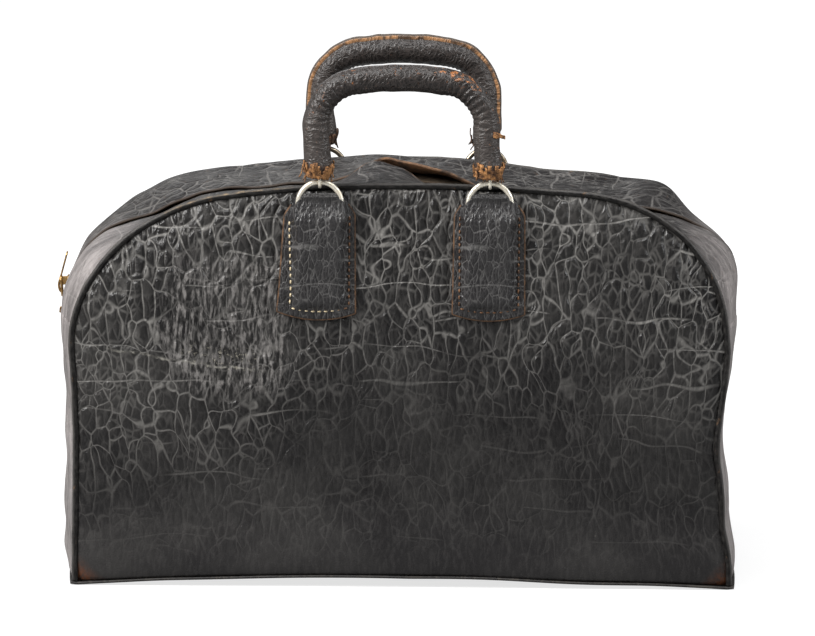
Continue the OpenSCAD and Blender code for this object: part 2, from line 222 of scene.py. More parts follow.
def skin(name, p, uv, mat, thick, flip=False, under=None):
    """A sheet of leather, cloth or board: a grid of points given thickness on its inner side."""
    obj = link(name, p, quads(*p.shape[:2], flip=flip), uv, mat)
    solid = thickened(obj, thick)
    if under is not None:
        obj.data.materials.append(under)
        solid.material_offset = solid.material_offset_rim = 1
    return obj


def tube(name, centre, radius, mat, sides=14, closed=False):
    """A round tube along points, with one radius or one for each point."""
    centre = np.asarray(centre, float)
    n = len(centre)
    if closed:
        ahead, behind = np.roll(centre, -1, 0), np.roll(centre, 1, 0)
    else:
        ahead, behind = np.vstack([centre[1:], centre[-1:]]), np.vstack([centre[:1], centre[:-1]])
    t = ahead - behind
    t /= np.linalg.norm(t, axis=1)[:, None]
    ref = np.tile([0.0, 1.0, 0.0], (n, 1))
    ref[np.abs(t[:, 1]) > 0.9] = [1, 0, 0]
    u = np.cross(ref, t)
    u /= np.linalg.norm(u, axis=1)[:, None]
    v = np.cross(t, u)
    a = np.linspace(0, 2 * math.pi, sides, endpoint=False)
    around = np.cos(a)[None, :, None] * u[:, None] + np.sin(a)[None, :, None] * v[:, None]
    r = np.broadcast_to(np.asarray(radius, float).reshape(n if np.ndim(radius) else 1, -1), (n, sides))
    run = np.concatenate([[0], np.cumsum(np.linalg.norm(np.diff(centre, axis=0), axis=1))])
    uv = np.stack(np.broadcast_arrays(run[:, None], a[None] * 0.003), -1) * 1000
    faces = quads(n, sides, wrap_n=closed, wrap_m=True).tolist()
    if not closed:
        faces.append(list(range(sides)))
        faces.append(list(range((n - 1) * sides, n * sides))[::-1])
    return link(name, centre[:, None] + r[..., None] * around, faces, uv, mat)


def join(name, objs):
    """One object out of several meshes, with their materials and UVs."""
    bpy.ops.object.select_all(action="DESELECT")
    for o in objs:
        o.select_set(True)
    bpy.context.view_layer.objects.active = objs[0]
    bpy.ops.object.join()
    objs[0].name = objs[0].data.name = name
    return objs[0]


def points(obj):
    co = np.empty(len(obj.data.vertices) * 3)
    obj.data.vertices.foreach_get("co", co)
    return co.reshape(-1, 3)


def rides(obj, body, slot, *replaced):
    """obj moves with one body and stands in for CAD nodes. slot is not used."""
    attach(obj, body)
    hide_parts(*replaced)


def shares(obj):
    """Bakes obj's transform into its mesh."""
    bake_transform(obj)


# ---- Materials ----
class Value:
    """A shader socket that can be added, subtracted and multiplied."""

    def __init__(self, tree, socket):
        self.tree, self.socket = tree, socket

    def __add__(self, other):
        return self.tree.math("ADD", self, other)

    def __sub__(self, other):
        return self.tree.math("SUBTRACT", self, other)

    def __rsub__(self, other):
        return self.tree.math("SUBTRACT", other, self)

    def __mul__(self, other):
        return self.tree.math("MULTIPLY", self, other)

    def __abs__(self):
        return self.tree.math("ABSOLUTE", self)


def opaque(color):
    return color if isinstance(color, Value) else (*color, 1.0)


class Tree:
    """Short forms for the shader nodes that the materials below share. Coordinates are in millimetres."""

    def __init__(self, name):
        self.mat = bpy.data.materials.new(name)
        self.mat.use_nodes = True
        self.nodes, self.links = self.mat.node_tree.nodes, self.mat.node_tree.links
        self.nodes.clear()
        shader = self.nodes.new("ShaderNodeBsdfPrincipled")
        self.bsdf = shader.inputs
        self.links.new(shader.outputs[0], self.nodes.new("ShaderNodeOutputMaterial").inputs[0])

    def put(self, socket, value):
        if isinstance(value, Value):
            self.links.new(value.socket, socket)
        else:
            socket.default_value = value

    def node(self, kind, inputs, out=0, **props):
        """A node with its inputs set or linked, and one of its outputs."""
        n = self.nodes.new(kind)
        for k, v in props.items():
            setattr(n, k, v)
        for k, v in inputs.items():
            self.put(n.inputs[k], v)
        return Value(self, n.outputs[out])

    def uv(self):
        return self.node("ShaderNodeUVMap", {}, uv_map="uv")

    def obj(self):
        """Object coordinates in millimetres."""
        return self.scaled(self.node("ShaderNodeTexCoord", {}, "Object"), (1000, 1000, 1000))

    def scaled(self, vec, by):
        return self.node("ShaderNodeVectorMath", {0: vec, 1: by}, operation="MULTIPLY")

    def split(self, vec):
        x = self.node("ShaderNodeSeparateXYZ", {0: vec})
        return [x] + [Value(self, x.socket.node.outputs[i]) for i in (1, 2)]

    def math(self, op, a, b=0.0, clamp=False):
        return self.node("ShaderNodeMath", {0: a, 1: b}, operation=op, use_clamp=clamp)

    def most(self, a, b):
        return self.math("MAXIMUM", a, b)

    def ramp(self, x, lo, hi, a=0.0, b=1.0):
        """x from lo..hi eased to a..b."""
        inputs = dict(enumerate((x, lo, hi, a, b)))
        return self.node("ShaderNodeMapRange", inputs, interpolation_type="SMOOTHSTEP")

    def noise(self, vec, scale, detail=3.0, rough=0.55, out="Fac"):
        inputs = {"Vector": vec, "Scale": scale, "Detail": detail, "Roughness": rough}
        return self.node("ShaderNodeTexNoise", inputs, out)

    def stretched(self, vec, by, detail=1.0, rough=0.55):
        """Noise drawn out along one way."""
        return self.noise(self.scaled(vec, (*by, 1)), 1.0, detail, rough)

    def cells(self, vec, by, feature="DISTANCE_TO_EDGE", randomness=1.0):
        inputs = {"Vector": self.scaled(vec, (*by, 1)), "Scale": 1.0, "Randomness": randomness}
        return self.node("ShaderNodeTexVoronoi", inputs, "Distance", feature=feature)

    def warp(self, vec, scale, amount):
        drift = {0: self.noise(vec, scale, 0.0, 0.5, "Color"), 1: (0.5, 0.5, 0.5)}
        drift = self.node("ShaderNodeVectorMath", drift, operation="SUBTRACT")
        inputs = {0: drift, 1: [amount] * 3, 2: vec}
        return self.node("ShaderNodeVectorMath", inputs, operation="MULTIPLY_ADD")

    def mix(self, f, a, b):
        return self.node("ShaderNodeMix", {0: f, 6: opaque(a), 7: opaque(b)}, 2, data_type="RGBA")

    def bump(self, height, strength, distance):
        return self.node("ShaderNodeBump", {"Height": height, "Strength": strength, "Distance": distance})

    def done(self, color, rough, normal=None, **values):
        self.put(self.bsdf["Base Color"], opaque(color))
        self.put(self.bsdf["Roughness"], rough)
        if normal is not None:
            self.put(self.bsdf["Normal"], normal)
        for k, v in values.items():
            self.bsdf[k.replace("_", " ")].default_value = v
        return self.mat


def leather(name, cell, vein, size=1.0, amount=1.0, relief=1.0, rough=(0.30, 0.48), spec=0.3,
            calm=None, wear_and_highlight=None):
    """Creased leather: main creases, smaller ones between them and a fine grain, with dust in the creases.

    calm is the stretch of height over which a panel's foot turns from smooth to creased.
    """
    t = Tree(name)
    p = t.uv()
    x, z = t.split(p)[:2]
    k = 1 / size
    w = t.warp(t.warp(p, 0.014 * k, 6.0 * size), 0.060 * k, 1.9 * size)
    main = t.cells(w, (0.096 * k, 0.036 * k), randomness=0.95)
    second = t.cells(w, (0.200 * k, 0.098 * k))
    grain = t.cells(p, (0.62 * k, 0.50 * k))
    width = t.ramp(t.noise(p, 0.05, 2.0), 0.30, 0.70, 0.040, 0.105)
    rows = t.math("PINGPONG", z + t.stretched(p, (0.016, 0.035)) * 24.0, 11.0)
    broken = t.stretched(p, (0.013, 0.045), 2.0)
    m1 = t.ramp(main, 0.0, width, 1.0, 0.0) * t.ramp(t.noise(p, 0.016, 3.0), 0.34, 0.60, 0.34, 1.0)
    m2 = t.ramp(second, 0.0, 0.16, 1.0, 0.0) * t.ramp(t.noise(p, 0.045, 2.0), 0.38, 0.64, 0.07, 0.38)
    m3 = t.ramp(rows, 0.15, 0.95, 1.0, 0.0) * t.ramp(broken, 0.47, 0.58, 0.0, 0.95)
    lines = t.most(t.most(m1, m3), m2)
    height = t.ramp(main, 0.0, 0.24) * 0.62 + t.ramp(second, 0.0, 0.30) * 0.34 - m3 * 0.12
    if calm is not None:
        quiet = t.ramp(z + t.noise(p, 0.03) * 16.0, *calm, 0.10, 1.0)
        across = x + (t.noise(p, 0.02, 3.0) - 0.5) * 70.0
        ends = t.ramp(across, -105.0, -60.0, 55.0, 0.0) + t.ramp(across, 125.0, 160.0, 0.0, 26.0)
        # painted highlight: the upper left corner is painted a pale grey in upright streaks, where the key
        # light glints on the gloss
        wander = (t.noise(p, 0.035, 3.0) - 0.5) * 40.0
        near_x = t.ramp(abs(x + 118.0 + wander), 16.0, 58.0, 1.0, 0.0)
        near_z = t.ramp(abs(z + wander - 182.0), 20.0, 62.0, 1.0, 0.0)
        painted_sheen = near_x * near_z
        streak = t.ramp(t.stretched(t.warp(p, 0.05, 3.0), (0.42, 0.085), 3.0, 0.62), 0.44, 0.66)
        streak = streak * t.most(t.ramp(painted_sheen, 0.0, 0.6, 0.0, 0.68), 0.05)
        lines = lines * quiet * t.ramp(z + ends, 100.0, 235.0, 0.13, 1.0) * t.ramp(painted_sheen, 0.0, 0.6, 1.0, 0.50)
        height = height * quiet * t.ramp(z, 80.0, 210.0, 0.45, 1.15)
    height = height + t.ramp(grain, 0.0, 0.4) * 0.07 + t.noise(p, 0.45 * k, 2.0, 0.5) * 0.10
    deep = t.math("MULTIPLY", lines, amount, clamp=True)
    if calm is None:
        color = t.mix(deep, cell, vein)
    else:
        # painted light: the foot of the panel is painted lighter, standing in for a low fill light
        painted_light_at_foot = t.mix(t.ramp(z, 22.0, 75.0, 1.0, 0.0), cell, tuple(1.9 * c for c in cell))
        # painted highlight: the pale streaks at the upper left are mixed in here
        color = t.mix(streak, t.mix(deep, painted_light_at_foot, vein), (0.235, 0.223, 0.215))
    dusty = t.ramp(t.noise(p, 0.012, 4.0), 0.36, 0.74, 0.0, 0.30)
    color = t.mix(dusty, color, tuple(0.3 * a + 0.35 * b for a, b in zip(cell, vein)))
    r = t.ramp(t.noise(p, 0.07, 3.0) + lines * 0.30, 0.3, 0.85, *rough)
    # scuffs on the front panel, a painted highlight on the gusset's ends
    if wear_and_highlight:
        color = wear_and_highlight(t, p, color)
    return t.done(color, r, t.bump(height, 1.0, 0.0009 * relief), Specular_IOR_Level=spec)


def scuffs(t, p, color):
    """A long pale scuff across the upper left, a few chips and light scratches."""
    x, z = t.split(p)[:2]
    line = z + x * 0.155 + ((t.noise(p, 0.05, 3.0) - 0.5) * 10.0 - 133.5)
    span = t.ramp(x, -205.0, -185.0) * t.ramp(x, -120.0, -78.0, 1.0, 0.0)
    chips = t.ramp(t.noise(p, 0.20, 3.0, 0.6), 0.44, 0.64, 0.10, 0.75)
    color = t.mix(t.ramp(abs(line), 0.1, 1.3, 1.0, 0.0) * span * chips, color, (0.27, 0.26, 0.23))
    burst = t.ramp(abs(line - 5.0), 2.0, 11.0, 1.0, 0.0) * t.ramp(abs(x + 122.0), 14.0, 34.0, 1.0, 0.0)
    burst = burst * t.ramp(t.noise(p, 0.36, 3.0, 0.7), 0.56, 0.66, 0.0, 0.8)
    color = t.mix(burst, color, (0.30, 0.28, 0.23))
    spots = t.cells(p, (0.022, 0.022), "F1")
    dots = t.ramp(spots, 0.018, 0.036, 1.0, 0.0) * t.ramp(t.noise(p, 0.02, 1.0), 0.5, 0.56)
    color = t.mix(dots, color, (0.40, 0.36, 0.30))
    from_corner = z + (HALF * 1000 - abs(x))
    rust = t.ramp(from_corner, 6.0, 26.0, 1.0, 0.0) * t.ramp(t.noise(p, 0.2, 4.0, 0.7), 0.38, 0.56, 0.3, 1.0)
    color = t.mix(rust, color, (0.115, 0.040, 0.016))
    drawn_out = t.scaled(t.warp(p, 0.01, 20.0), (0.05, 1.1, 1))
    scratch = t.ramp(t.noise(drawn_out, 0.5, 3.0, 0.7), 0.70, 0.76)
    scratch = scratch * t.ramp(t.noise(p, 0.018, 2.0), 0.58, 0.66)
    return t.mix(scratch * 0.5, color, (0.22, 0.21, 0.20))


def painted_corner_highlights(t, p, color):
    """The gusset is dark along the top and painted pale at both ends, most of all on the left shoulder: a
    painted highlight where the ends catch the lights.
    """
    y, run = t.split(p)[:2]
    blotch = (t.noise(p, 0.03, 4.0) - 0.5) * 60.0
    behind = t.ramp(y, -30.0, 50.0, 0.0, 40.0)
    streaks = t.ramp(t.stretched(p, (0.11, 0.022), 4.0, 0.6), 0.34, 0.66, 0.45, 1.0)
    left = t.ramp(TOTAL * 1000 - run + blotch + behind, 205.0, 275.0, 1.0, 0.0)
    color = t.mix(left * streaks * 0.92, color, (0.31, 0.285, 0.280))
    right = t.ramp(run + blotch, 196.0, 262.0, 1.0, 0.0)
    color = t.mix(right * streaks * 0.90, color, (0.33, 0.300, 0.292))
    rust = t.ramp(t.noise(p, 0.2, 4.0, 0.7), 0.62, 0.72) * 0.35
    return t.mix(rust, color, (0.17, 0.09, 0.045))


def plain_grain(name, color, dark, rough=0.6, relief=0.5, scale=1.0, only=None):
    """Plain leather, board or cord. With only, the colour keeps to a stretch of x and is dark past it."""
    t = Tree(name)
    p = t.obj()
    n1 = t.noise(p, 0.09 * scale, 4.0)
    n2 = t.noise(p, 0.9 * scale, 3.0, 0.65)
    c = t.mix(t.ramp(n1, 0.3, 0.7), color, dark)
    c = t.mix(t.ramp(n2, 0.45, 0.75, 0.0, 0.4), c, dark)
    if only is not None:
        centre, near, far = only
        c = t.mix(t.ramp(abs(t.split(p)[0] - centre), near, far), c, (0.028, 0.018, 0.012))
    return t.done(c, t.ramp(n1, 0.3, 0.7, rough, rough + 0.12), t.bump(n2, 0.6, 0.0005 * relief))


def woven(name, color, dark, pitch):
    """Plain woven cloth with threads pitch millimetres apart."""
    t = Tree(name)
    x, y = t.split(t.uv())[:2]
    weave = t.math("SINE", x * (2 * math.pi / pitch)) * t.math("SINE", y * (2 * math.pi / pitch))
    soil = t.noise(t.uv(), 0.03, 4.0)
    c = t.mix(t.ramp(weave, -1.0, 1.0, 0.0, 0.6), color, dark)
    c = t.mix(t.ramp(soil, 0.35, 0.75, 0.0, 0.55), c, dark)
    return t.done(c, 0.85, t.bump(weave, 0.5, 0.00025))


def metal(name, color, tarnish, rough, amount, metallic=1.0):
    t = Tree(name)
    p = t.obj()
    n = t.noise(p, 0.22, 4.0, 0.6)
    c = t.mix(t.ramp(n, 0.42, 0.68, 0.0, amount), color, tarnish)
    r = t.ramp(n, 0.35, 0.75, rough, rough + 0.28)
    return t.done(c, r, t.bump(t.noise(p, 1.6, 3.0, 0.6), 0.35, 0.00025), Metallic=metallic)


def welt_material(name, streak):
    """Smooth dark leather over a cord. Along the upper left of the front the black has worn off to tan."""
    t = Tree(name)
    p = t.uv()
    s, a = t.split(p)[:2]
    n = t.noise(p, 0.25, 4.0, 0.65)
    c = t.mix(t.ramp(n, 0.38, 0.75), (0.0050, 0.0046, 0.0046), (0.026, 0.024, 0.022))
    if streak:
        begin, end = TOTAL * 1000 - 376, TOTAL * 1000 - 284
        span = t.ramp(s, begin - 6, begin + 30) * t.ramp(s, end - 6, end + 16, 1.0, 0.0)
        top_front = t.ramp(abs(a - 16.6), 0.4, 1.5, 1.0, 0.0)
        rubbed = t.ramp(t.noise(p, 0.16, 4.0, 0.7), 0.40, 0.62, 0.12, 1.0)
        c = t.mix(span * top_front * rubbed, c, (0.46, 0.32, 0.17))
    # painted highlight: the welt's upper front side is painted lighter, with a painted highlight along its
    # crest
    upper = t.ramp(a, 14.6, 16.4) * t.ramp(t.noise(p, 0.12, 3.0), 0.3, 0.6, 0.55, 1.0)
    c = t.mix(upper, c, (0.050, 0.047, 0.045))
    ridge = t.ramp(abs(a - 17.4), 0.2, 1.2, 1.0, 0.0)
    ridge = ridge * t.ramp(t.noise(p, 0.07, 4.0, 0.6), 0.42, 0.62, 0.0, 0.8)
    c = t.mix(ridge, c, (0.085, 0.078, 0.070))
    c = t.mix(t.ramp(t.noise(p, 0.11, 4.0, 0.7), 0.62, 0.72, 0.0, 0.5), c, (0.16, 0.09, 0.045))
    fine = t.bump(t.noise(p, 1.3, 3.0), 0.6, 0.0005)
    return t.done(c, t.ramp(n, 0.3, 0.7, 0.32, 0.5), fine, Specular_IOR_Level=0.22)


def thread_material():
    """Brown thread, bleached to cream along the outer side and foot of the front's left tab."""
    t = Tree("waxed_thread")
    p = t.obj()
    x, _, z = t.split(p)
    n = t.noise(p, 0.4, 3.0)
    brown = t.mix(t.ramp(n, 0.35, 0.65), (0.20, 0.095, 0.040), (0.055, 0.024, 0.012))
    side = t.ramp(x, -76.0, -72.0, 1.0, 0.0)
    foot = t.ramp(z, 194.0, 197.0, 1.0, 0.0) * t.ramp(x, -50.0, -40.0, 1.0, 0.0)
    pale = t.most(side, foot) * t.ramp(n, 0.30, 0.50, 0.45, 1.0)
    return t.done(t.mix(pale, brown, (0.66, 0.55, 0.36)), 0.5, t.bump(t.noise(p, 3.5, 2.0), 0.5, 0.0004))


def handle_material():
    """Rolled leather: creases round the handle, tan raw edges on its flange, orange where it is rubbed."""
    t = Tree("handle_leather")
    p = t.uv()
    s, a = t.split(p)[:2]
    w = t.warp(p, 0.12, 4.5)
    round_it = t.cells(w, (0.30, 0.11))
    grain = t.cells(w, (0.55, 0.5))
    lines = t.most(t.ramp(round_it, 0.0, 0.16, 1.0, 0.0) * 0.45, t.ramp(grain, 0.0, 0.2, 1.0, 0.0) * 0.30)
    c = t.mix(lines * 0.8, (0.0120, 0.0102, 0.0096), (0.080, 0.066, 0.060))
    far = abs(s - (HANDLE.leg + HANDLE.arc * 0.85) * 1000)
    patch = t.ramp(far, 5.0, 17.0, 0.10, 0.0) * t.ramp(abs(a + 16.0), 3.0, 8.0, 1.0, 0.0)
    rub = t.ramp(t.noise(p, 0.26, 5.0, 0.72) + patch, 0.60, 0.69, 0.0, 0.85)
    c = t.mix(rub * t.ramp(abs(a + 14.0), 8.0, 16.0, 1.0, 0.10), c, (0.36, 0.135, 0.040))
    from_end = t.math("MINIMUM", s, HANDLE.total * 1000 - s)
    # painted highlight: the legs are painted lighter towards their ends
    c = t.mix(t.ramp(from_end, 34.0, 62.0, 0.40, 0.0), c, (0.086, 0.074, 0.068))
    c = t.mix(t.ramp(abs(a), 1.2, 1.7, 0.7, 0.0), c, (0.085, 0.068, 0.055))
    edge = t.ramp(abs(abs(a) - 1.75), 0.35, 0.85, 1.0, 0.0)
    edge = edge * t.ramp(t.noise(p, 0.2, 4.0), 0.38, 0.55, 0.15, 0.95)
    c = t.mix(edge, c, (0.30, 0.155, 0.070))
    raw = t.ramp(from_end + t.noise(p, 0.3, 4.0) * 14.0, 9.0, 17.0, 1.0, 0.0)
    c = t.mix(raw * t.ramp(t.noise(p, 0.5, 3.0), 0.3, 0.6, 0.45, 0.95), c, (0.19, 0.075, 0.027))
    height = t.ramp(round_it, 0.0, 0.3) + t.ramp(grain, 0.0, 0.35) * 0.4 + t.noise(p, 0.8, 2.0) * 0.2
    r = t.ramp(t.noise(p, 0.1, 3.0), 0.3, 0.7, 0.30, 0.46)
    return t.done(c, r, t.bump(height, 0.6, 0.00055), Specular_IOR_Level=0.35)


BLACK, GREY = (0.0068, 0.0063, 0.0066), (0.200, 0.193, 0.182)
CALM = (16.0, 50.0)
panel_mats = {
    -1: leather("bag_leather", BLACK, GREY, 1.0, 0.98, 1.3, (0.24, 0.47), 0.30, CALM, scuffs),
    1: leather("back_leather", BLACK, GREY, 1.0, 0.80, 1.0, (0.26, 0.48), 0.30, CALM),
}
base_mat = leather("base_leather", (0.020, 0.019, 0.019), (0.085, 0.075, 0.062), 1.3, 0.45, 0.5, (0.5, 0.7))
# the gusset's pale ends are a painted highlight
gusset_mat = leather("gusset_leather", (0.013, 0.012, 0.0125), (0.165, 0.158, 0.150), 0.8, 0.66, 1.2,
                     (0.38, 0.56), 0.14, None, painted_corner_highlights)
tab_mat = leather("tab_leather", (0.020, 0.019, 0.020), (0.150, 0.146, 0.142), 0.40, 0.65, 0.60,
                  (0.24, 0.42), 0.34)
lining_mat = woven("lining_cloth", (0.20, 0.15, 0.10), (0.10, 0.07, 0.05), 1.2)
tape_mat = woven("zip_tape_cloth", (0.026, 0.021, 0.013), (0.010, 0.008, 0.006), 0.8)
board_mat = plain_grain("pressed_board", (0.30, 0.22, 0.13), (0.18, 0.12, 0.07), 0.8)
raw_mat = plain_grain("raw_leather_edge", (0.14, 0.070, 0.030), (0.030, 0.016, 0.009), 0.7, 1.0, 2.5)
under_mat = plain_grain("raw_leather_underside", (0.16, 0.080, 0.036), (0.022, 0.013, 0.008), 0.7, 1.0, 1.6,
                        (4.0, 26.0, 60.0))
fray_mats = {
    -1: plain_grain("frayed_leather", (0.56, 0.265, 0.090), (0.040, 0.016, 0.009), 0.75, 2.5, 3.4),
    1: plain_grain("back_frayed_leather", (0.10, 0.045, 0.020), (0.015, 0.008, 0.006), 0.75, 2.5, 3.4),
}
cord_mat = plain_grain("cotton_cord", (0.45, 0.38, 0.28), (0.30, 0.24, 0.16), 0.85)
# painted reflection: the front rings are partly diffuse with a pale base, so they show bright as polished
# metal would
nickel_mat = metal("nickel_painted_bright", (0.95, 0.90, 0.78), (0.62, 0.50, 0.32), 0.20, 0.40, 0.62)
dull_nickel = metal("tarnished_nickel", (0.34, 0.29, 0.22), (0.14, 0.10, 0.06), 0.32, 0.8)
brass_mat = metal("old_brass", (0.52, 0.33, 0.13), (0.12, 0.065, 0.03), 0.30, 0.85)
welt_mats = {-1: welt_material("welt_leather", True), 1: welt_material("back_welt_leather", False)}
thread_mat = thread_material()
handle_mat = handle_material()


# ---- Panels, boards and linings ----
def dome_grid(inset, z0, n=250, m=150):
    u = np.linspace(-1, 1, n)
    x = (HALF - inset) * np.sin(u * math.pi / 2 * 0.999)
    v = np.linspace(0, 1, m)
    v = 0.5 * v + 0.5 * (1 - np.cos(v * math.pi)) / 2
    z = z0 + v[None] * (dome_top(x, inset)[:, None] - z0)
    return np.broadcast_to(x[:, None], z.shape), z


for side, label in SIDES:
    x, z = dome_grid(0.0012, 0.0026)
    p = worn(np.stack([x, side * face(x, z), z], -1))
    piece = skin(f"{label}_panel_leather", p, millimetres(x, z), panel_mats[side], PANEL_HIDE, flip=side > 0)
    rides(piece, "shell", "bag_leather", f"{label}_panel")
    for what, inset, z0, at, thick, mat in (
        ("board", 0.0036, 0.0032, SEAM - 0.0004, 0.0018, board_mat),
        ("lining", 0.0042, 0.0062, SEAM - 0.0025, LINING, lining_mat),
    ):
        x, z = dome_grid(inset, z0, 120, 70)
        near = 0.0012 * np.exp(-np.maximum(z - z0, 0) / 0.006)
        p = worn(np.stack([x, side * (at - near), z], -1))
        piece = skin(f"{label}_{what}_sheet", p, millimetres(x, z), mat, thick, flip=side > 0)
        rides(piece, "shell", what, f"{label}_{what}")
    wide = 2 * (HALF - inset)
    tall = dome_top(np.linspace(-0.5, 0.5, 200) * wide, inset) - z0
    float(tall.mean() * wide)


# ---- Base ----
def flat_grid(hx, hy, n=120, m=50):
    a, b = np.sin(np.linspace(-1, 1, n) * math.pi / 2), np.sin(np.linspace(-1, 1, m) * math.pi / 2)
    return np.meshgrid(a * hx, b * hy, indexing="ij")


BASE_EDGE = SEAM + 0.0032
x, y = flat_grid(1.0, BASE_EDGE, 160, 60)
reach = HALF + 0.0035 + 0.004 * (1 - (y / SEAM) ** 2)
x = x * reach
turn = 0.0003 * step(np.abs(y), SEAM - 0.004, BASE_EDGE) + 0.0006 * step(np.abs(x), reach - 0.006, reach)
z = 0.0018 + 0.0012 * np.abs(ripple(x, y, 0.2, 8)) * step(-np.abs(x), -0.2, -0.15) + turn
base = skin("base_leather_skin", worn(np.stack([x, y, z], -1)), millimetres(x, y), base_mat, PANEL_HIDE)
rides(base, "shell", "bag_leather", "base_panel")
for what, inset, z0, thick, mat in (
    ("board", 0.004, 0.0050, 0.0025, board_mat),
    ("lining", 0.005, 0.0062, LINING, lining_mat),
):
    hx, hy = HALF - inset, SEAM - inset - 0.0005
    x, y = flat_grid(hx, hy)
    p = worn(np.stack([x, y, np.full_like(x, z0)], -1))
    piece = skin(f"base_{what}_sheet", p, millimetres(x, y), mat, thick)
    rides(piece, "shell", what, f"base_{what}")
2 * hx
2 * hy


# ---- Gussets ----
def zip_height(s):
    """How far the gusset stands out of the seam line where the zip runs. Over the top it has sunk."""
    left = TOTAL - s
    right_end = 0.0085 + 0.0098 * hill(s, 0.2135, 0.026) - 0.0205 * step(s, 0.226, 0.300)
    top = 0.0060 * step(s, 0.385, 0.435) - 0.0010 * step(s, 0.49, 0.54)
    left_end = 0.0188 * step(-left, -0.272, -0.217)
    pushed_up = 0.0085 * hill(s, TOTAL / 2 + 0.020, 0.022)
    return (right_end + top + left_end + pushed_up) * (0.75 + 0.25 * step(np.minimum(s, left), 0.0, 0.02))


def swell(s, y):
    """How much more the leather swells between the zip and the seam."""
    right = 0.0030 * hill(s, 0.215, 0.05)
    left = 0.0050 * hill(TOTAL - s, 0.204, 0.032)
    t = np.minimum(s, TOTAL - s)
    right_shoulder, left_shoulder = 0.0158 * hill(t, 0.271, 0.022), 0.0115 * hill(t, 0.266, 0.036)
    shoulder = np.where(s < TOTAL / 2, right_shoulder, left_shoulder) * (y > 0)
    sunk = 0.0040 * hill(s, TOTAL / 2 + 0.012, 0.060) * (y > 0)
    return right + left + shoulder - sunk + step(t, 0.25, 0.33) * (0.0020 + 0.0035 * (y > 0))


def gusset_off(s, y):
    q = np.abs(y) / SEAM
    off = zip_height(s) * (1 - q ** 2) + swell(s, y) * np.sin(np.clip(q, 0, 1) * math.pi) ** 1.3
    t = np.minimum(s, TOTAL - s)
    off = off + 0.0042 * step(t, 0.20, 0.30) * (y > 0) * hill(q, 0.84, 0.13)
    return off + 0.0010 * ripple(s, y, 0.07, 5) * step(1 - q, 0.03, 0.3)


def strip(s0, s1, y0, y1, drop, n, m, lip=0.0, even=False):
    """Points of a strip of the gusset, drop metres under its outer skin."""
    s = np.linspace(s0, s1, n)
    v = np.linspace(0, 1, m)
    yy = y0 + (y1 - y0) * (v if even else 0.5 * v + 0.25 * (1 - np.cos(v * math.pi)))
    s, y = np.meshgrid(s, yy, indexing="ij")
    off = gusset_off(s, y) - drop
    if lip:
        edge = np.exp(-(np.abs(y) - min(abs(y0), abs(y1))) / 0.004)
        off = off + lip * edge * (0.6 + 0.4 * ripple(s, s * 0, 0.05, 9))
    x, z, _, _ = BAG.at(s, off)
    return s, y, np.stack([x, y, z], -1)


def bend(obj, s, y):
    """Works out how much of obj would follow a flap in the middle, none over the seam and the corners, and
    bakes obj's transform.
    """
    t = np.minimum(s, TOTAL - s)
    share = step(t, 0.205, 0.350) * step(-np.abs(y), -(SEAM - 0.0022), -(SEAM - 0.0190))
    shares(obj)


for name, s0, s1, inward in (
    ("right", 0.0026, ZIP_END + 0.0010, 0.004),
    ("left", TOTAL - 0.0026, TOTAL - ZIP_END - 0.0010, -0.004),
):
    s, y, p = strip(s0, s1, -SEAM + 0.0024, SEAM - 0.0024, 0.0, 70, 60)
    flip = name == "right"
    piece = skin(f"{name}_gusset_leather", worn(p), millimetres(y, s), gusset_mat, GUSSET_HIDE, flip)
    rides(piece, "shell", "gusset_leather", f"{name}_gusset")
    s, y, p = strip(s0 + inward, s1, -SEAM + 0.0036, SEAM - 0.0036, 0.0027, 50, 40)
    piece = skin(f"{name}_lining_low", worn(p), millimetres(y, s), lining_mat, LINING, flip)
    rides(piece, "shell", "lining", f"{name}_lining")

START, END = ZIP_END - 0.0008, TOTAL - ZIP_END + 0.0008


def top_gusset(side, label):
    """The gusset on one side of the zip, from corner to corner, with its raw edge along the zip."""
    s, y, p = strip(START, END, side * LIP, side * (SEAM - 0.0024), 0.0004, 360, 44, lip=0.0010)
    x, away = p[..., 0], np.abs(y) - LIP
    if side > 0:  # the back half's edge has come away from the zip and curls up
        curl = 0.0100 * step(x, -0.036, -0.008) * step(-x, -0.066, -0.026)
        p[..., 2] += curl * np.exp(-away / 0.016)
        p[..., 1] += 0.005 * hill(x, -0.002, 0.03) * np.exp(-away / 0.008)
    else:
        raised = 0.0070 * step(x, -0.044, -0.020) * step(-x, -0.016, 0.004) - 0.0012 * hill(x, 0.03, 0.03)
        p[..., 2] += raised * np.exp(-away / 0.018)
    p = worn(p)
    name, uv = f"{label}_top_gusset_leather", millimetres(y, s)
    piece = skin(name, p, uv, gusset_mat, GUSSET_HIDE, side > 0, under_mat)
    bend(piece, s, y)
    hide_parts(f"{label}_top_gusset", f"{label}_left_corner", f"{label}_right_corner")
    rim = p[:, 0] - np.array([0, side * 0.0002, 0.0009])
    edge = tube(f"{label}_top_gusset_raw_edge", rim, 0.0009, under_mat, 8)
    bend(edge, np.repeat(s[:, 0], 8), np.repeat(y[:, 0], 8))


def top_cloth(side, label):
    """The lining under the top gusset, and the zip's tape."""
    s, y, p = strip(START, END, side * 0.017, side * (SEAM - 0.0050), 0.0030, 200, 22)
    lining = skin(f"{label}_top_lining_cloth", worn(p), millimetres(y, s), lining_mat, TOP_LINING, side > 0)
    bend(lining, s, y)
    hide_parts(f"{label}_top_lining")
    END - START
    s, y, _ = strip(START, END, side * 0.0036, side * 0.0165, 0.0, 300, 8, even=True)
    x, z, _, _ = BAG.at(s, zip_height(s) - 0.0024)
    p = worn(np.stack([x, y, z], -1))
    tape = skin(f"{label}_zip_tape_cloth", p, millimetres(y, s), tape_mat, TAPE, side > 0)
    bend(tape, s, y)
    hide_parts(f"{label}_zip_tape")
    END - START


